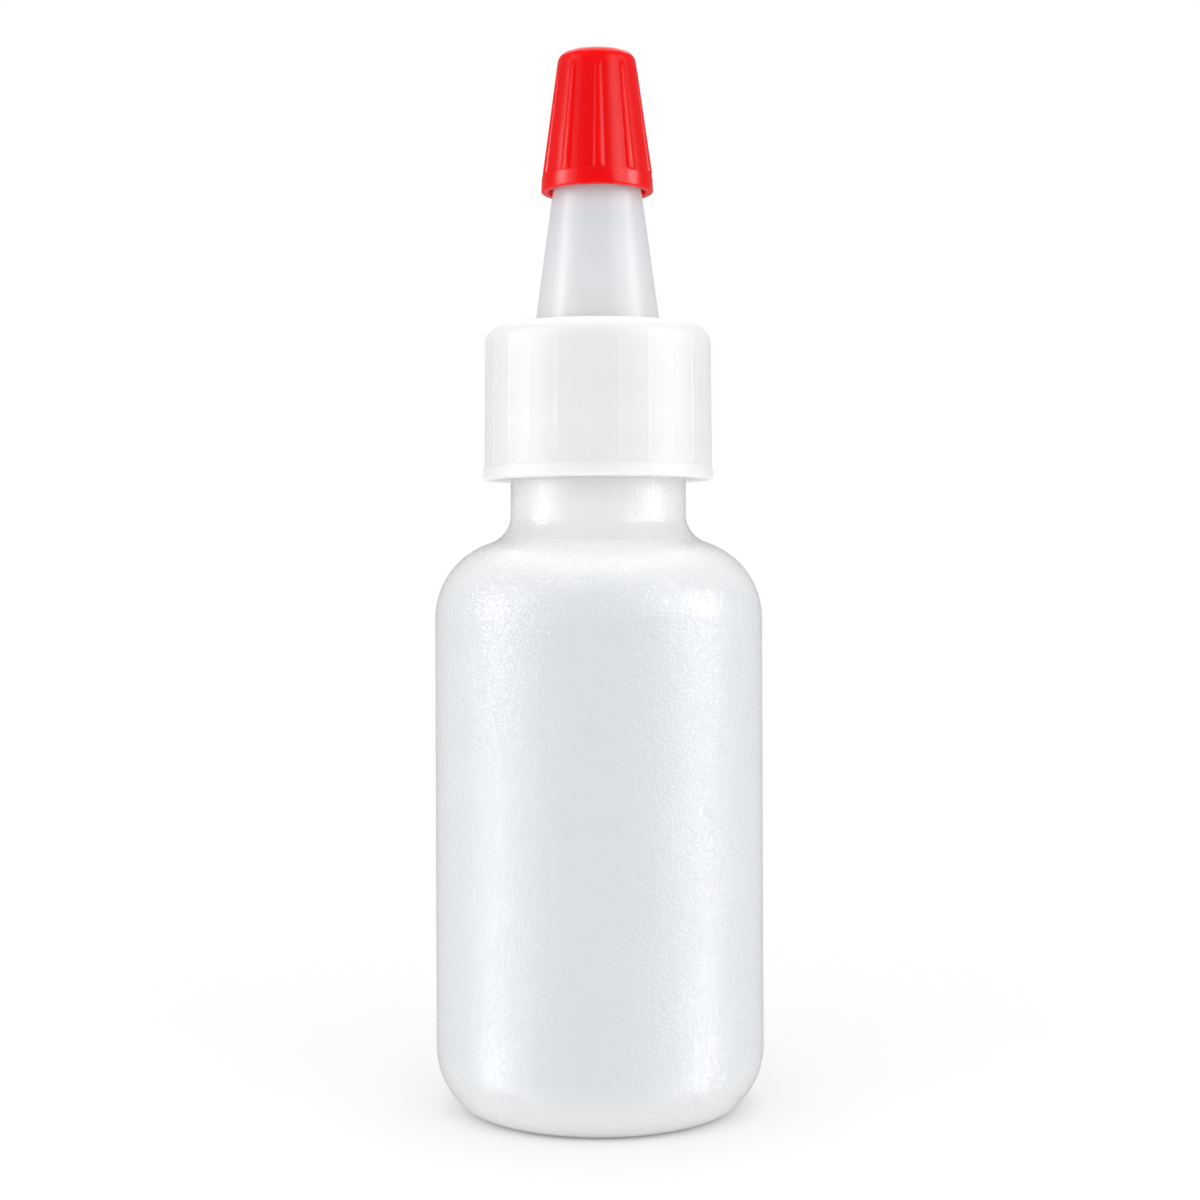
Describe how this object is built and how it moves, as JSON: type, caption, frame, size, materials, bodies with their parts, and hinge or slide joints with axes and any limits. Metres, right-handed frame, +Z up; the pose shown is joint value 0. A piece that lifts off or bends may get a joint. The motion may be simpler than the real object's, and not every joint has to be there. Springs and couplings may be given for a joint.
{
  "type": "squeeze bottle",
  "caption": "Translucent round-shouldered squeeze bottle with a screw collar, a conical dispensing spout and a fluted push-on tip cap.",
  "frame": {"origin": "centre of the base, on the surface that the foot ring stands on", "axes": "+Z up along the axis of the bottle, -Y towards the viewer of the picture, +X to the viewer's right"},
  "size_m": [0.033, 0.033, 0.1064],
  "materials": {
    "natural_plastic": "translucent natural polyethylene, satin with a fine orange peel",
    "washer_foam": "soft closed-cell foam",
    "white_plastic": "satin white polyethylene",
    "red_plastic": "semi-gloss red polyethylene"
  },
  "bodies": {
    "bottle": {"bottle": "natural_plastic"},
    "spout": {"spout": "natural_plastic", "sealing_washer": "washer_foam"},
    "collar": {"collar": "white_plastic"},
    "tip_cap": {"tip_cap": "red_plastic"}
  },
  "joints": [
    {"name": "spout_lift", "type": "slide", "parent": "bottle", "child": "spout", "axis": [0, 0, 1], "range_m": [0, 0.00477]},
    {"name": "collar_turn", "type": "hinge", "parent": "spout", "child": "collar", "pos_m": [0, 0, 0.071], "axis": [0, 0, 1], "range_deg": [0, 540]},
    {"name": "tip_cap_pull", "type": "slide", "parent": "spout", "child": "tip_cap", "axis": [0, 0, 1], "range_m": [0, 0.014]}
  ],
  "couplings": [
    {"joint": "spout_lift", "follows": "collar_turn", "m_per_rad": 0.00050532}
  ]
}
